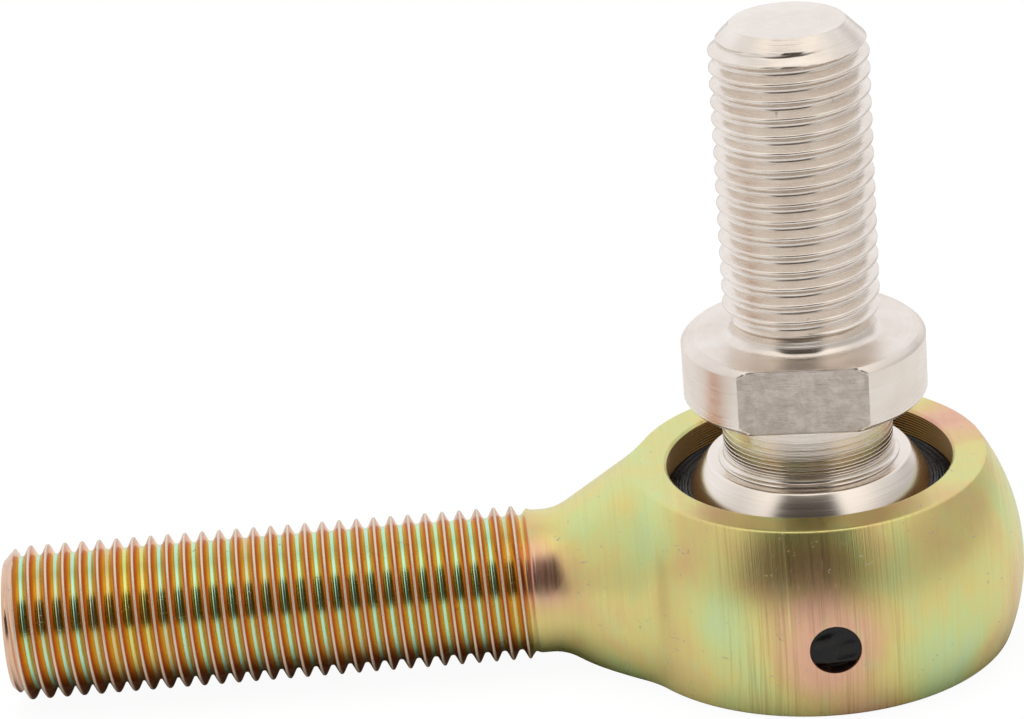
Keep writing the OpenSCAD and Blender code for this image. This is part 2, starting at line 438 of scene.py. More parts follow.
# %% Bore and faces
MOUTH = 0.16
groove_pitch, groove_depth = 0.17, 0.035
bore = [(BORE_R + MOUTH + 0.03, FACE_TOP), *rounded((BORE_R + 1, FACE_TOP), (BORE_R + MOUTH, FACE_TOP),
        (BORE_R, FACE_TOP - MOUTH), 0.03, 2)[1:-1], (BORE_R, FACE_TOP - MOUTH)]
z = FACE_TOP - MOUTH - 0.03
while z - groove_pitch > RACE_HALF - 0.2:
    bore += [(BORE_R, z), (BORE_R + groove_depth, z - groove_pitch * 0.25),
             (BORE_R + groove_depth, z - groove_pitch * 0.6), (BORE_R, z - groove_pitch * 0.85)]
    z -= groove_pitch
bore += [(BORE_R, UNDERCUT_HALF), (UNDERCUT_R, UNDERCUT_HALF), (UNDERCUT_R, -UNDERCUT_HALF),
         (BORE_R, -UNDERCUT_HALF), (BORE_R, -RACE_HALF), (BORE_R, FACE_BASE + MOUTH),
         (BORE_R + MOUTH, FACE_BASE)]
bore = np.array(bore)[::-1]          # from the lower mouth up to the upper one
FACE_RINGS = np.array([0.03, 0.2, 0.45, 0.7, 0.93])


def face_rows(inner, outer):
    """Points across a flat face, from the bore's mouth out to the broken edge."""
    return inner + (outer - inner) * FACE_RINGS[None, :, None]


top_face = face_rows(bore[None, None, -1], upper[:, :1])
base_face = face_rows(bore[None, None, 0], lower[:, :1])[:, ::-1]
bore_rows = np.repeat(bore[None], len(columns), 0)
loop = np.concatenate([top_face, upper, lower[:, ::-1], base_face, bore_rows], 1)
gap = top_face.shape[1] + upper.shape[1] - 1
head_points = np.stack([-loop[..., 0] * np.cos(columns)[:, None], -loop[..., 0] * np.sin(columns)[:, None],
                        loop[..., 1]], -1)
head_faces = grid_faces(len(columns), loop.shape[1], wrap_rows=True, skip_rows=(gap,))

# %% [markdown]
# The plastic was injected through a hole in the side of the head. A block of faces is taken out there,
# and rings blend its square border into the round hole, all lying on the sphere.

# %% Gate hole in the side of the head
GATE_DEPTH = 2.9
row_height = loop[:, :, 1]
rows_out = [r for r in range(top_face.shape[1] + 7, top_face.shape[1] + upper.shape[1] + lower.shape[1] - 7)
            if r != gap + 1]
front_column = int(np.argmin(np.abs(columns - math.pi / 2)))
k0, k1 = front_column - 8, front_column + 8
near = [r for r in rows_out if abs(row_height[front_column, r] - GATE_Z) < 2.35]
j0, j1 = near[0], near[-1]
rows_in_block = [r for r in range(j0, j1 + 1) if r != gap + 1]
head_faces = [f for f in head_faces
              if not (k0 <= f[0] // loop.shape[1] < k1 and j0 <= f[0] % loop.shape[1] < j1)]
border = ([(k, j0) for k in range(k0, k1)] + [(k1, r) for r in rows_in_block[:-1]]
          + [(k, j1) for k in range(k1, k0, -1)] + [(k0, r) for r in rows_in_block[:0:-1]])
rim = np.array([head_points[k, r] for k, r in border])
turn_at_hole = np.arctan2(rim[:, 2] - GATE_Z, rim[:, 0])


def on_sphere(x, z, lift=0.0):
    """The point of the head's front at (x, z), lifted by so much along Y."""
    return np.stack([x, -np.sqrt(HEAD_R ** 2 - x ** 2 - (z - SHANK_AXIS) ** 2) + lift, z], -1)


circle = np.stack([np.cos(turn_at_hole), np.sin(turn_at_hole)], -1)
hole_rows = [rim]
HOLE_BREAK = 0.08
for share in (0.3, 0.6, 0.85, 1.0):
    edge_r = GATE_R + HOLE_BREAK
    x = rim[:, 0] * (1 - share) + circle[:, 0] * edge_r * share
    z_ = rim[:, 2] * (1 - share) + (GATE_Z + circle[:, 1] * edge_r) * share
    hole_rows.append(on_sphere(x, z_))
for inset, depth in ((0.55, 0.015), (0.85, 0.05), (1.0, 0.11)):
    r = GATE_R + HOLE_BREAK * (1 - inset)
    hole_rows.append(on_sphere(circle[:, 0] * r, GATE_Z + circle[:, 1] * r, depth))
for depth in (0.3, 0.9, GATE_DEPTH):
    wall = on_sphere(circle[:, 0] * GATE_R, GATE_Z + circle[:, 1] * GATE_R, depth)
    if depth == GATE_DEPTH:
        wall[:, 1] = -HEAD_R + GATE_DEPTH
    hole_rows.append(wall)
hole_points = np.stack(hole_rows, 1)
hole_part = (hole_points.reshape(-1, 3), grid_faces(len(rim), hole_points.shape[1]))
hole_floor = disc_part(hole_points[:, -1], (0, -HEAD_R + GATE_DEPTH, GATE_Z), (1, 0.5, 0))

# %% [markdown]
# The thread is drawn standing up, then laid down on the shank's axis and welded to the ring of points
# where the head's columns end.

# %% Shank thread, welded to the head
def thread_part(name, foot, tip, foot_radius, tip_radius, run_out, land, first_crest):
    turns = math.ceil((tip - foot) / PITCH) + 3
    mesh = run_tree(name, rolled_thread, Turns=turns, Pitch=PITCH * MM, Crest_radius=THREAD_R * MM,
                    Depth=THREAD_DEPTH * MM, Foot=foot * MM, Tip=tip * MM, Foot_radius=foot_radius * MM,
                    Tip_radius=tip_radius * MM, Run_out=run_out * MM, Land=land * MM,
                    First_crest=first_crest * MM, Chamfer_slope=1.0)
    return mesh_part(mesh)


def to_shank(points):
    """Turns points drawn along +Z so that they lie along -X, on the shank's axis."""
    points = np.asarray(points)
    return np.stack([-points[:, 2], points[:, 1], points[:, 0] + SHANK_AXIS], -1)


def ring(radius, height, segments=SEGMENTS):
    turns = np.linspace(0, 2 * math.pi, segments, endpoint=False)
    return np.stack([radius * np.cos(turns), radius * np.sin(turns), np.full(segments, height)], -1)


SHANK_TIP_R = 3.95
shank_points, shank_faces = thread_part("shank thread", FLARE_START, SHANK_TIP, LAND_R, SHANK_TIP_R,
                                        0.9, 0.55, FLARE_START - 1.4 * PITCH + 0.11)
tip_points, tip_faces = disc_part(ring(SHANK_TIP_R, SHANK_TIP), (0, 0, SHANK_TIP))
body = mesh_object("rod_end_body_plated", [
    (head_points.reshape(-1, 3), head_faces), hole_part, hole_floor,
    (to_shank(shank_points), shank_faces), (to_shank(tip_points), tip_faces)])
body.data.set_sharp_from_angle(angle=math.radians(38))

# %% [markdown]
# ## The ball
# A ground and polished steel ball with two turned flats. A broken edge catches the light where the
# sphere meets the flat. Its bore carries the stud, and the lower end is opened out for the staked end.

# %% Ball
GAP = 0.02
hole_r = SPIGOT_R + GAP
flat_r = math.sqrt(BALL_R ** 2 - BALL_HALF ** 2)
flat_angle = math.degrees(math.asin(BALL_HALF / BALL_R))
first = arc(BALL_R, flat_angle - 1.6, flat_angle - 1.6, 1)[0]
upper_edge = rounded((hole_r, BALL_HALF), (flat_r, BALL_HALF), first, 0.14, 4)
lower_edge = [(r, -z) for r, z in upper_edge[::-1]]
STAKE = 0.7
ball_outline = [(hole_r, BALL_HALF), (5.3, BALL_HALF), *upper_edge,
                *arc(BALL_R, flat_angle - 2, -flat_angle + 2, 72), *lower_edge,
                (hole_r + STAKE + 0.05, -BALL_HALF), (hole_r + STAKE, -BALL_HALF),
                (hole_r, -BALL_HALF + STAKE),
                (hole_r, BALL_HALF)]
ball = mesh_object("ball_polished", [turn("ball", ball_outline, 192)])
ball.data.set_sharp_from_angle(angle=math.radians(38))

# %% [markdown]
# ## The moulded race
# Nylon is injected round the ball and freezes against it. Its two ends carry fine moulded rings.

# %% Race
seat_r = BALL_R + 0.03
top_inner = math.sqrt(seat_r ** 2 - RACE_HALF ** 2)
end_rows = [(top_inner + 0.02, RACE_HALF)]
ridge_shape = [(-0.12, 0), (-0.07, 0.06), (-0.03, 0.13), (0.03, 0.13), (0.07, 0.06), (0.12, 0)]
for ridge in (7.75, 8.1, 8.42):
    end_rows += [(ridge + across, RACE_HALF + high) for across, high in ridge_shape]
end_rows.append((RACE_R - 0.05, RACE_HALF))
lock_half = UNDERCUT_HALF - 0.03
half_outline = end_rows + [(RACE_R, RACE_HALF - 0.05), (RACE_R, lock_half), (RACE_LOCK_R, lock_half)]
seat_angle = math.degrees(math.asin(RACE_HALF / seat_r))
race_outline = (half_outline + [(r, -z) for r, z in half_outline[::-1]]
                + arc(seat_r, -seat_angle, seat_angle, 24) + [half_outline[0]])
race = mesh_object("race_moulded", [turn("race", race_outline, 192)])
race.data.set_sharp_from_angle(angle=math.radians(50))

# %% [markdown]
# ## The gate plug
# Where the injection nozzle was torn away, the plastic is left as a dark, lumpy, glossy stub a little
# below the steel. A polar grid with seeded bumps gives that torn face.

# %% Gate plug
rng = np.random.default_rng(7)
waves = [(rng.uniform(0.6, 3.2), rng.uniform(0, 2 * math.pi), rng.uniform(0, 2 * math.pi),
          rng.uniform(0.02, 0.07)) for _ in range(14)]


def torn(x, z):
    """Depth in mm that the torn face stands out or in at (x, z)."""
    total = 0.0
    for pitch, heading, start, size in waves:
        total += size * np.sin(pitch * 2.2 * (x * math.cos(heading) + z * math.sin(heading)) + start)
    return total


PLUG_R = GATE_R - 0.01
PLUG_RECESS = 0.27        # depth of the torn face under the front of the head
ROUGHNESS_SHARE = 0.6     # how much of the torn relief is left in the glossy stub
LOW_CORNER = 0.672        # how much deeper the stub's lower edge is torn
plug_face = -HEAD_R + PLUG_RECESS
plug_turns = np.linspace(0, 2 * math.pi, 72, endpoint=False)
plug_rows = []
for radius in np.linspace(0, PLUG_R, 22):
    x, z_ = radius * np.cos(plug_turns), radius * np.sin(plug_turns)
    settle = 1 - (radius / PLUG_R) ** 6
    lean = LOW_CORNER * np.clip((z_ + 0.75) / 0.5, -1, 0) ** 2
    face = plug_face + torn(x, z_) * settle * ROUGHNESS_SHARE + lean
    plug_rows.append(np.stack([x, face, z_ + GATE_Z], -1))
rim_x, rim_z = PLUG_R * np.cos(plug_turns), PLUG_R * np.sin(plug_turns)
inner = -HEAD_R + GATE_DEPTH - 0.02
plug_rows.append(np.stack([rim_x, np.full(72, inner), rim_z + GATE_Z], -1))
plug_rows.append(np.tile([0, inner, GATE_Z], (72, 1)))
plug_points = np.stack(plug_rows, 1)
plug = mesh_object("gate_plug_torn", [(plug_points.reshape(-1, 3), grid_faces(72, plug_points.shape[1]))])
plug.data.set_sharp_from_angle(angle=math.radians(40))

# %% [markdown]
# ## The stud
# The stud is turned in one piece, then two flats are milled on its collar for a spanner. At each height
# the radius is the smaller of the turned one and the flat's, so the flats cut the chamfers exactly.
# Columns are moved onto the flats' corners so that those edges are straight.

# %% Stud
CHAMFER = 0.35
stud_outline = [(0, -BALL_HALF + 0.1), (2.0, -BALL_HALF + 0.1), (SPIGOT_R + STAKE - 0.16, -BALL_HALF + 0.1),
                (SPIGOT_R, -BALL_HALF + STAKE - GAP), (SPIGOT_R, BALL_HALF + GAP),
                (NECK_R + 0.35, BALL_HALF + GAP), (NECK_R + 0.3, BALL_HALF + GAP + 0.07)]
stud_outline += [(NECK_R + 0.3 - 0.3 * math.sin(a), BALL_HALF + GAP + 0.37 - 0.3 * math.cos(a))
                 for a in np.radians(np.linspace(10, 90, 6))]
# tool marks low on the neck
mark, feed = BALL_HALF + GAP + 0.42, 0.16
while mark < COLLAR_BASE - 1.6:
    stud_outline += [(NECK_R, mark), (NECK_R - 0.025, mark + 0.03), (NECK_R - 0.025, mark + 0.07),
                     (NECK_R, mark + 0.1)]
    mark, feed = mark + feed, feed * 1.16
# (turned radius, distance from the collar's end, how far the flat's own edge is worn back there)
collar_edge = [(COLLAR_R - CHAMFER - 0.03, 0.0, 0.07), (COLLAR_R - CHAMFER, 0.02, 0.025),
               (COLLAR_R - CHAMFER + 0.05, 0.07, 0.0), (COLLAR_R - 0.23, 0.12, 0.0),
               (COLLAR_R - 0.12, 0.23, 0.0),
               (COLLAR_R - 0.04, CHAMFER - 0.04, 0.0), (COLLAR_R, CHAMFER + 0.03, 0.0)]
stud_outline += [(NECK_R, COLLAR_BASE - 0.5), (NECK_R, COLLAR_BASE - 0.04), (NECK_R + 0.04, COLLAR_BASE),
                 (5.6, COLLAR_BASE), (6.0, COLLAR_BASE)]
collar_rows = {}
for radius, inset, wear in collar_edge:
    collar_rows[len(stud_outline)] = wear
    stud_outline.append((radius, COLLAR_BASE + inset))
for level in np.linspace(COLLAR_BASE + 0.8, COLLAR_TOP - 0.8, 5):
    collar_rows[len(stud_outline)] = 0.0
    stud_outline.append((COLLAR_R, level))
for radius, inset, wear in collar_edge[::-1]:
    collar_rows[len(stud_outline)] = wear
    stud_outline.append((radius, COLLAR_TOP - inset))
RELIEF_FILLET = 0.7
stud_outline += [(6.0, COLLAR_TOP), (5.6, COLLAR_TOP), (5.2, COLLAR_TOP)]
stud_outline += [(RELIEF_R + RELIEF_FILLET - RELIEF_FILLET * math.sin(a),
                  COLLAR_TOP + RELIEF_FILLET - RELIEF_FILLET * math.cos(a))
                 for a in np.radians(np.linspace(5, 90, 8))]
stud_outline = np.array(stud_outline)

LATHE_SEGMENTS = 2 * SEGMENTS
angles = np.linspace(0, 2 * math.pi, LATHE_SEGMENTS, endpoint=False)
flat_normals = [FLAT_TURN - math.pi / 2, FLAT_TURN + math.pi / 2]
snapped = angles.copy()
for flat_normal in flat_normals:
    for back in (0, 0.12, 0.23, CHAMFER):
        swing = math.acos(FLAT_DISTANCE / (COLLAR_R - back))
        for sign in (-1, 1):
            wanted = (flat_normal + sign * swing) % (2 * math.pi)
            nearest = int(np.argmin(np.abs((angles - wanted + math.pi) % (2 * math.pi) - math.pi)))
            snapped[nearest] = wanted


def flat_reach(turn):
    """Distance from the axis to the nearer flat, in one direction."""
    found = np.full(np.shape(turn), 99.0)
    for flat_normal in flat_normals:
        lean = np.cos(turn - flat_normal)
        found = np.minimum(found, np.where(lean > 0.1, FLAT_DISTANCE / np.maximum(lean, 0.1), 99.0))
    return found


stud_points = np.empty((LATHE_SEGMENTS, len(stud_outline), 3))
reach_of_flat = flat_reach(snapped)
burr = np.random.default_rng(3).uniform(-1, 1, LATHE_SEGMENTS)
burr = (burr + np.roll(burr, 1)) / 2
for row, (radius, level) in enumerate(stud_outline):
    if row in collar_rows:
        clipped = np.minimum(radius, reach_of_flat - collar_rows[row])
        # the cutter pushed up a slight burr along the flat's upper edge
        on_edge = (reach_of_flat < COLLAR_R - CHAMFER) & (level > COLLAR_TOP - 0.08) & (collar_rows[row] > 0)
        lift = np.where(on_edge, 0.035 * (burr + 0.6), 0.0)
        stud_points[:, row] = np.stack([clipped * np.cos(snapped), clipped * np.sin(snapped),
                                        level + lift], -1)
    else:
        turns = angles.copy()
        if row == len(stud_outline) - 1:      # the thread above has half as many columns
            turns[1::2] = turns[::2]
        stud_points[:, row] = np.stack([radius * np.cos(turns), radius * np.sin(turns),
                                        np.full(LATHE_SEGMENTS, level)], -1)
stud_part = (stud_points.reshape(-1, 3), grid_faces(LATHE_SEGMENTS, len(stud_outline)))
relief_end = stud_outline[-1][1]
stud_thread = thread_part("stud thread", relief_end, STUD_TIP, RELIEF_R, STUD_TIP_R, 0.7, 0.25,
                          relief_end - 1.2 * PITCH)
stud_tip = disc_part(ring(STUD_TIP_R, STUD_TIP), (0, 0, STUD_TIP), (1, 0.97, 0.8, 0.5, 0.25, 0))
stud = mesh_object("stud_nickel", [stud_part, stud_thread, stud_tip])
stud.data.set_sharp_from_angle(angle=math.radians(29))

# %% [markdown]
# ## Colours
# Hex colours are sRGB, as an eye or a screen reads them. Shaders work in linear light.

# %% Colour helper
def shade(code):
    parts = [int(code[i:i + 2], 16) / 255 for i in (1, 3, 5)]
    linear = [p / 12.92 if p <= 0.04045 else ((p + 0.055) / 1.055) ** 2.4 for p in parts]
    return (*linear, 1.0)


def new_material(name):
    material = bpy.data.materials.new(name)
    material.use_nodes = True
    tree = material.node_tree
    shader = tree.nodes["Principled BSDF"]
    coords = add(tree, "ShaderNodeTexCoord").outputs["Object"]
    in_mm = add(tree, "ShaderNodeVectorMath", {0: coords, 1: (1000, 1000, 1000)},
                operation="MULTIPLY").outputs[0]
    return material, tree, shader, in_mm


def ramp(tree, factor, stops, interpolation="LINEAR"):
    """A colour ramp with (place, hex colour) stops."""
    node = add(tree, "ShaderNodeValToRGB", {0: factor})
    node.color_ramp.interpolation = interpolation
    elements = node.color_ramp.elements
    while len(elements) < len(stops):
        elements.new(0.5)
    for element, (place, code) in zip(elements, stops):
        element.position, element.color = place, shade(code)
    return node.outputs[0]


def calc(tree, operation, *values, clamp=False):
    return add(tree, "ShaderNodeMath", dict(enumerate(values)), operation=operation,
               use_clamp=clamp).outputs[0]


def times(tree, *values):
    """The product of several values."""
    product = values[0]
    for value in values[1:]:
        product = calc(tree, "MULTIPLY", product, value)
    return product


def from_axis(tree, a, b):
    """Distance from an axis, out of the two coordinates across it."""
    return calc(tree, "SQRT", calc(tree, "ADD", times(tree, a, a), times(tree, b, b)))


def finish(tree, shader, colour, rough, height, strength, depth_mm, metal=1.0):
    """Links a finish's colour, roughness and fine relief to its shader."""
    tree.links.new(colour, shader.inputs["Base Color"])
    tree.links.new(rough, shader.inputs["Roughness"])
    shader.inputs["Metallic"].default_value = metal
    bump = add(tree, "ShaderNodeBump", {"Height": height, "Strength": strength, "Distance": depth_mm * MM})
    tree.links.new(bump.outputs[0], shader.inputs["Normal"])


def mixed(tree, factor, first, second, blend="MIX"):
    return add(tree, "ShaderNodeMix", {0: factor, 6: first, 7: second}, data_type="RGBA",
               blend_type=blend, clamp_factor=True).outputs[2]


def noise(tree, vector, scale, detail=2.0, rough=0.5, distortion=0.0):
    return add(tree, "ShaderNodeTexNoise", {"Vector": vector, "Scale": scale, "Detail": detail,
                                            "Roughness": rough, "Distortion": distortion}).outputs[0]


def stretched(tree, vector, x, y, z_, move=(0, 0, 0)):
    return add(tree, "ShaderNodeMapping",
               {"Vector": vector, "Scale": (x, y, z_), "Location": move}).outputs[0]


def smooth(tree, value, low, high, start=0.0, end=1.0):
    return add(tree, "ShaderNodeMapRange",
               {"Value": value, "From Min": low, "From Max": high, "To Min": start, "To Max": end},
               interpolation_type="SMOOTHSTEP").outputs[0]


# %% [markdown]
# ## Yellow zinc chromate
# Zinc plate dipped in yellow chromate carries a film that is thinner here and thicker there, and shows
# as patches of gold, green and rose. The colour follows slow noise in three directions, and a short
# list of places makes the film thicker or thinner there.

# %% Colours of the head
# (centre in mm, radius in mm, change of film thickness): below nought greener, above nought rosier
FILM_PLACES = [((-0.3, -12.3, -1.5), 5.0, 0.30), ((-7, -10.5, 0), 4.5, -0.35), ((6, -10.5, -3.5), 5.0, -0.30),
               ((11.5, -4, -1), 4.0, 0.2), ((2, -10, -7), 4.0, 0.4), ((9, 3, 5.4), 8.0, 0.35),
               ((-10, 0, 5.4), 5.0, 0.12), ((-17.5, -3, 0), 3.0, 0.45), ((-14, -2, 4), 4.0, -0.35),
               ((0, 11, 5), 6.0, 0.3), ((-2.5, -11, 3), 4.5, 0.32)]


def head_colours(tree, place, x, y, z_, turned_side, front_band, marks):
    """Colours of the head: slow patches, fine mottle, tool marks darkened by a painted reflection, one
    scratch, and painted shade in the bore.
    """
    patches = noise(tree, stretched(tree, place, 0.17, 0.17, 0.13, (3.1, 1.7, 0.4)), 1.0, 3.0, 0.5, 0.2)
    thickness = smooth(tree, patches, 0.15, 0.85, 0.12, 0.68)
    for centre, radius_mm, change in FILM_PLACES:
        away = add(tree, "ShaderNodeVectorMath", {0: place, 1: centre}, operation="DISTANCE").outputs["Value"]
        thickness = calc(tree, "ADD", thickness, smooth(tree, away, 0, radius_mm, change, 0))
    head_colour = ramp(tree, thickness, [(0.0, "#c6e2b2"), (0.25, "#d4de98"), (0.42, "#e2d68c"), (0.58, "#e2c58a"),
                                  (0.75, "#e8bb9a"), (0.95, "#dfa898")])
    fine = noise(tree, stretched(tree, place, 0.9, 0.9, 0.45), 1.0, 2.0)
    head_colour = mixed(tree, smooth(tree, fine, 0.52, 0.8, 0, 0.25), head_colour, shade("#c6e0a4"))
    # across the front band the tool marks are darkened to olive-brown: real marks, with a painted reflection
    # of the dark patch
    mark_and_reflection_streaks = times(tree, smooth(tree, marks, 0.45, 0.75, 0, 0.42), front_band)
    head_colour = mixed(tree, mark_and_reflection_streaks, head_colour, shade("#a88a58"))
    # one long bright scratch down the front
    off_scratch = calc(tree, "ABSOLUTE", calc(tree, "ADD", x, 2.6))
    scored = times(tree, smooth(tree, off_scratch, 0.02, 0.06, 0.8, 0), smooth(tree, z_, -1.0, 1.0),
                   turned_side, smooth(tree, y, -9.0, -9.4))
    head_colour = mixed(tree, scored, head_colour, shade("#f4e8a4"))
    # inside the bore the colour is painted dark, like bronze: a painted shade for the recess
    painted_bore_shade = times(tree, smooth(tree, from_axis(tree, x, y), BORE_R + 0.05, BORE_R + 0.12, 1, 0),
                    smooth(tree, z_, FACE_TOP - 0.3, FACE_TOP - 0.15, 1, 0))
    return mixed(tree, painted_bore_shade, head_colour, shade("#8a6a3c"))


# %% [markdown]
# On the thread the colour follows the height over the root and the way that the flank faces: the flanks go
# from gold to red-brown, and those facing the shank's end get a darker copy, a painted shade. The root
# carries a film colour with a painted highlight that drifts between yellow-green and blue-green along the
# shank, and the crests are pale where they have rubbed. The chamfer and the end face are plain pink-gold.

# %% Thread colours
def thread_colours(tree, place, along_shank, height_share, facing_x):
    lit_flank_colours = ramp(tree, height_share, [
        (0.0, "#ecd678"), (0.06, "#f0cf62"), (0.28, "#f2b45a"), (0.58, "#e4935a"),
        (0.86, "#d38260"), (0.95, "#d9b398"), (0.99, "#e9ddc8")])
    shaded_flank_colours = ramp(tree, height_share, [
        (0.0, "#dcd870"), (0.06, "#d2c862"), (0.28, "#d6a450"), (0.58, "#c98a50"),
        (0.86, "#bd7c58"), (0.95, "#cfae92"), (0.99, "#e9ddc8")])
    # the flank facing the shank's end gets the darker copy, a painted shade; the flank facing the head gets
    # the lit one
    rolled = mixed(tree, smooth(tree, facing_x, -0.3, 0.3), shaded_flank_colours, lit_flank_colours)
    drift = noise(tree, stretched(tree, place, 0.16, 0.03, 0.03, (1.3, 0, 0)), 1.0, 2.0)
    # the root's bright blue-green line is film colour with a painted highlight
    root = ramp(tree, drift, [(0.33, "#dbe48c"), (0.41, "#d8bd8e"), (0.47, "#b4ead0"), (0.66, "#bdeec0")])
    rolled = mixed(tree, smooth(tree, height_share, 0.012, 0.05, 1, 0), rolled, root)
    chamfered = times(tree, smooth(tree, along_shank, SHANK_TIP - 1.0, SHANK_TIP - 0.8),
                      smooth(tree, height_share, 0.9, 0.97, 1, 0))
    return mixed(tree, chamfered, rolled, shade("#e2bda2"))


# %% [markdown]
# The two are joined where the thread begins. The head's roughness follows its tool marks, the pale
# crests are dull and gritty, and nicks through the film show bare grey zinc.

# %% Plated steel, joined
def yellow_zinc():
    material, tree, shader, place = new_material("yellow zinc chromate on steel")
    x, y, z_ = add(tree, "ShaderNodeSeparateXYZ", {0: place}).outputs
    above = calc(tree, "SUBTRACT", z_, SHANK_AXIS)
    radius = from_axis(tree, y, above)
    height = calc(tree, "SUBTRACT", radius, THREAD_R - THREAD_DEPTH)
    height_share = calc(tree, "DIVIDE", height, THREAD_DEPTH, clamp=True)
    along_shank = times(tree, x, -1.0)
    on_thread = smooth(tree, along_shank, FLARE_START + 0.9, FLARE_START + 1.6)
    # turning marks run round the shank's axis, so they change fast along X only; the faces are milled
    normal = add(tree, "ShaderNodeTexCoord").outputs["Normal"]
    facing = add(tree, "ShaderNodeSeparateXYZ", {0: normal}).outputs
    milled = smooth(tree, calc(tree, "ABSOLUTE", facing[2]), 0.9, 0.97)
    turned_side = calc(tree, "SUBTRACT", 1.0, milled)
    off_middle = calc(tree, "ABSOLUTE", calc(tree, "ADD", x, 0.8))
    front_band = times(tree, turned_side, smooth(tree, off_middle, 4.6, 6.4, 1.0, 0.12))
    marks = noise(tree, stretched(tree, place, 7.0, 0.10, 0.10), 1.0, 3.0, 0.6)
    head_colour = head_colours(tree, place, x, y, z_, turned_side, front_band, marks)
    rolled = thread_colours(tree, place, along_shank, height_share, facing[0])
    colour = mixed(tree, on_thread, head_colour, rolled)
    nick_noise = noise(tree, stretched(tree, place, 1.3, 1.3, 2.2, (5, 2, 9)), 1.0, 4.0, 0.65, 1.5)
    nicks = smooth(tree, nick_noise, 0.665, 0.70)
    colour = mixed(tree, times(tree, nicks, 0.7), colour, shade("#b0a6b0"))
    head_rough = smooth(tree, marks, 0.3, 0.7, 0.27, 0.36)
    rough = add(tree, "ShaderNodeMix", {0: on_thread, 2: head_rough, 3: 0.2}).outputs[0]
    crest_rough = times(tree, smooth(tree, height_share, 0.85, 1.0, 0, 0.3), on_thread)
    rough = calc(tree, "ADD", calc(tree, "ADD", rough, crest_rough), times(tree, nicks, 0.15))
    on_crest = times(tree, smooth(tree, height_share, 0.9, 1.0), on_thread)
    grit_depth = add(tree, "ShaderNodeMix", {0: on_crest, 2: 0.15, 3: 1.6}).outputs[0]
    grit = times(tree, noise(tree, place, 14.0, 2.0), grit_depth)
    lines = noise(tree, stretched(tree, place, 16.0, 0.1, 0.1), 1.0, 2.0, 0.6)
    lines = times(tree, lines, front_band, calc(tree, "SUBTRACT", 1.0, on_thread))
    relief = calc(tree, "ADD", grit, calc(tree, "ADD", lines, times(tree, nicks, -0.8)))
    finish(tree, shader, colour, rough, relief, 0.35, 0.03)
    return material


# %% [markdown]
# ## Nickel, polished steel and nylon
# Nickel plate is warm beside chrome and keeps the lathe's marks: rings on the flat ends, lines round
# the sides. The two milled flats on the collar are duller, greyer and scratched.

# %% Nickel
def nickel():
    material, tree, shader, place = new_material("nickel plate on turned steel")
    x, y, z_ = add(tree, "ShaderNodeSeparateXYZ", {0: place}).outputs
    MARKS_PER_MM = 5.0
    rings = add(tree, "ShaderNodeCombineXYZ", {0: times(tree, from_axis(tree, x, y), MARKS_PER_MM),
                                               1: times(tree, z_, MARKS_PER_MM)})
    marks = noise(tree, rings.outputs[0], 1.0, 3.0, 0.6)
    cloud = noise(tree, place, 0.35, 3.0, 0.6)
    colour = ramp(tree, cloud, [(0.3, "#e6dcd3"), (0.5, "#ece3da"), (0.7, "#f1eae3")])
    pits = smooth(tree, noise(tree, place, 2.6, 4.0, 0.7, 1.0), 0.69, 0.73)
    colour = mixed(tree, times(tree, pits, 0.6), colour, shade("#7d736a"))
    facing = add(tree, "ShaderNodeVectorMath",
                 {0: add(tree, "ShaderNodeTexCoord").outputs["Normal"],
                  1: (math.cos(flat_normals[0]), math.sin(flat_normals[0]), 0)},
                 operation="DOT_PRODUCT").outputs["Value"]
    on_collar = times(tree, smooth(tree, z_, COLLAR_BASE - 0.1, COLLAR_BASE),
                      smooth(tree, z_, COLLAR_TOP, COLLAR_TOP + 0.1, 1, 0))
    milled = times(tree, smooth(tree, calc(tree, "ABSOLUTE", facing), 0.995, 0.999), on_collar)
    mottle = smooth(tree, noise(tree, place, 1.1, 4.0, 0.7), 0.3, 0.7)
    colour = mixed(tree, milled, colour, mixed(tree, mottle, shade("#c2b6ac"), shade("#dcd3cc")))
    rough = calc(tree, "ADD", smooth(tree, marks, 0.3, 0.7, 0.17, 0.30), times(tree, on_collar, 0.09))
    rough = calc(tree, "ADD", rough, times(tree, milled, 0.10))
    slanted = add(tree, "ShaderNodeMapping", {"Vector": place, "Scale": (1.2, 1.2, 14.0),
                                              "Rotation": (0, math.radians(38), 0)}).outputs[0]
    scratch_depth = calc(tree, "ADD", 0.25, times(tree, milled, 1.6))
    scratches = times(tree, noise(tree, slanted, 1.0, 3.0, 0.6), scratch_depth)
    relief = calc(tree, "ADD", calc(tree, "ADD", marks, times(tree, pits, -0.9)), scratches)
    finish(tree, shader, colour, rough, relief, 0.4, 0.04)
    return material


# %% [markdown]
# The ball is ground and polished, so it is bright with only faint rings. The race is black glass-filled
# nylon, a little glossy where it left the mould.

# %% Polished steel and nylon
def polished_steel():
    material, tree, shader, place = new_material("ground and polished steel")
    rings = noise(tree, stretched(tree, place, 0.15, 0.15, 9.0), 1.0, 2.0)
    colour = ramp(tree, rings, [(0.3, "#ece2d8"), (0.7, "#f3ebe3")])
    finish(tree, shader, colour, smooth(tree, rings, 0.3, 0.7, 0.19, 0.24), rings, 0.10, 0.01)
    return material


def nylon():
    material, tree, shader, place = new_material("black moulded nylon")
    cloud = noise(tree, place, 1.4, 3.0, 0.6)
    colour = ramp(tree, cloud, [(0.3, "#060607"), (0.7, "#0f0f11")])
    shader.inputs["IOR"].default_value = 1.53
    shader.inputs["Specular IOR Level"].default_value = 0.3
    finish(tree, shader, colour, smooth(tree, cloud, 0.3, 0.7, 0.18, 0.36),
           noise(tree, place, 6.0, 3.0), 0.3, 0.05, metal=0.0)
    return material


# %% [markdown]
# Each finished piece gets its finish, hides the CAD node it stands for, and rides on that node's body.

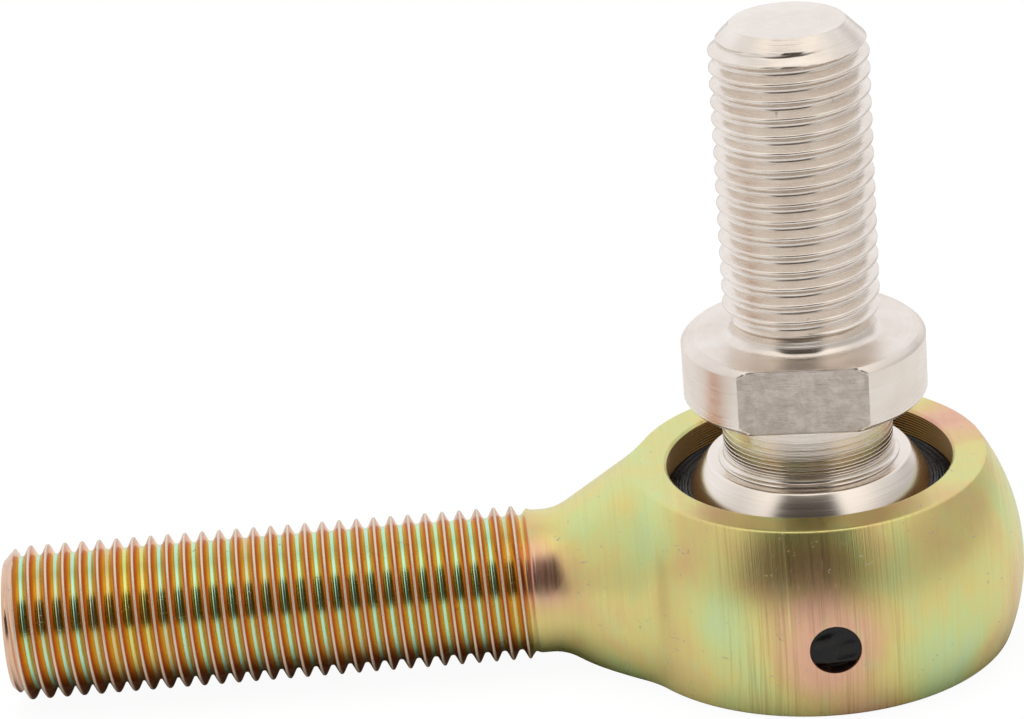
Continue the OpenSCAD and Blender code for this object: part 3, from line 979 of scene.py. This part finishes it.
# %% Finishes on the pieces
zinc, nickel_plate, steel, black_nylon = yellow_zinc(), nickel(), polished_steel(), nylon()
finishes = [(body, zinc, "yellow_zinc_steel", "rod_end_body", "body"),
            (race, black_nylon, "race_plastic", "race", "race"),
            (plug, black_nylon, "race_plastic", "gate_plug", "body"),
            (ball, steel, "polished_steel", "ball", "ball"),
            (stud, nickel_plate, "nickel_steel", "stud", "stud")]
for piece, material, slot, node, rides_on in finishes:
    piece.data.materials.clear()
    piece.data.materials.append(material)
    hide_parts(node)
    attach(piece, rides_on)

# %% [markdown]
# ## Camera
# A long lens from the side of the gate hole, 23 degrees above the floor, with a slight roll.

# %% Camera
elevation, azimuth, roll = math.radians(22.97), math.radians(-0.123), math.radians(4.736)
distance, target = 235.86, np.array([-17.518, 0.0, 13.279])
level = math.cos(elevation)
forward = np.array([math.sin(azimuth) * level, math.cos(azimuth) * level, -math.sin(elevation)])
right = np.array([math.cos(azimuth), -math.sin(azimuth), 0.0])
above = np.cross(right, forward)
across = right * math.cos(roll) - above * math.sin(roll)
upward = right * math.sin(roll) + above * math.cos(roll)
camera = bpy.data.objects.new("camera", bpy.data.cameras.new("camera"))
camera.data.sensor_width = 36.0
camera.data.lens = 138.12
camera.data.clip_start, camera.data.clip_end = 0.01, 20
place = (target - forward * distance) * MM
axes = [[across[i], upward[i], -forward[i], place[i]] for i in range(3)]
camera.matrix_world = Matrix(axes + [[0, 0, 0, 1]])
bpy.context.scene.collection.objects.link(camera)
bpy.context.scene.camera = camera

# %% [markdown]
# ## Floor and light
# The part lies on a flat floor. The metal mirrors it as a light grey, and the lens sees it burnt white
# but for a soft shadow.

# %% Floor
floor_mesh = bpy.data.meshes.new("floor")
floor_size, floor_level = 3.0, -6.34 * MM
corners = [(-1, -1), (1, -1), (1, 1), (-1, 1)]
floor_points = [(x * floor_size, y * floor_size, floor_level) for x, y in corners]
floor_mesh.from_pydata(floor_points, [], [(0, 1, 2, 3)])
floor = bpy.data.objects.new("floor", floor_mesh)
bpy.context.scene.collection.objects.link(floor)
paint, tree, shader, _ = new_material("white sweep")
shader.inputs["Base Color"].default_value = shade("#c6c6c6")
shader.inputs["Roughness"].default_value = 0.9
# the floor is lit brighter than the part, so the lens sees it burn out but for the soft shadow
glow = add(tree, "ShaderNodeEmission", {"Color": (1, 1, 1, 1), "Strength": 1.03})
seen = add(tree, "ShaderNodeLightPath").outputs["Is Camera Ray"]
burnt = add(tree, "ShaderNodeMixShader",
            {0: times(tree, seen, 0.92), 1: shader.outputs[0], 2: glow.outputs[0]})
tree.links.new(burnt.outputs[0], tree.nodes["Material Output"].inputs[0])
floor.data.materials.append(paint)

# %% [markdown]
# The world is a white tent: brightest overhead, cool white behind, dimmer low on the right, and with
# one dark patch on the viewer's side. Polished metal mirrors that patch as its dark middle, and this is
# what makes it read as metal. The lens itself sees plain white.

# %% World
world = bpy.data.worlds.new("studio")
bpy.context.scene.world = world
world.use_nodes = True
tree = world.node_tree
background = tree.nodes["Background"]
direction = add(tree, "ShaderNodeTexCoord").outputs["Generated"]
axes = add(tree, "ShaderNodeSeparateXYZ", {0: direction}).outputs
heading = calc(tree, "ARCTAN2", axes[0], times(tree, axes[1], -1.0))
rise = calc(tree, "ARCSINE", axes[2])


def window(value, low, high, soft):
    """1 between two angles in degrees, falling to 0 over soft degrees outside them."""
    low, high, soft = (math.radians(v) for v in (low, high, soft))
    return times(tree, smooth(tree, value, low - soft, low), smooth(tree, value, high, high + soft, 1, 0))


dark = times(tree, window(heading, -41, 22, 12), window(rise, 10, 57, 12))
overhead = add(tree, "ShaderNodeVectorMath", {0: direction, 1: (0, -0.5, 0.866)},
               operation="DOT_PRODUCT").outputs["Value"]
bright = smooth(tree, overhead, math.cos(math.radians(65)), math.cos(math.radians(15)))
behind = times(tree, smooth(tree, axes[1], -0.2, 0.6), smooth(tree, rise, math.radians(75), math.radians(40)))
studio = mixed(tree, bright, (0.74, 0.72, 0.70, 1), (1.20, 1.16, 1.10, 1))
studio = mixed(tree, behind, studio, (0.98, 0.98, 1.0, 1))
dim_right = times(tree, window(heading, 42, 125, 25), smooth(tree, rise, math.radians(38), math.radians(18)))
studio = mixed(tree, times(tree, dim_right, 0.8), studio, (0.50, 0.49, 0.48, 1))
studio = mixed(tree, dark, studio, (0.07, 0.06, 0.05, 1))
seen = add(tree, "ShaderNodeLightPath").outputs["Is Camera Ray"]
tree.links.new(mixed(tree, seen, studio, (1, 1, 1, 1)), background.inputs[0])
background.inputs[1].default_value = 1.0

# %% [markdown]
# One large soft lamp overhead gives the shadow. It is hidden from mirror reflections, because the
# tent already gives those.

# %% Lamp
def lamp(name, at, towards, size, power):
    data = bpy.data.lights.new(name, "AREA")
    data.shape, data.size, data.size_y = "RECTANGLE", size[0], size[1]
    data.energy = power
    made = bpy.data.objects.new(name, data)
    at = Vector(at)
    aim = (Vector(towards) - at).to_track_quat("-Z", "Y").to_matrix().to_4x4()
    made.matrix_world = Matrix.Translation(at) @ aim
    bpy.context.scene.collection.objects.link(made)
    return made


overhead_lamp = lamp("overhead", (-0.05, 0.02, 0.5), (0, 0, 0), (0.5, 0.35), 2.5)
overhead_lamp.visible_glossy = False
bpy.context.scene.view_settings.view_transform = "Standard"

# %% Update the scene
bpy.context.view_layer.update()
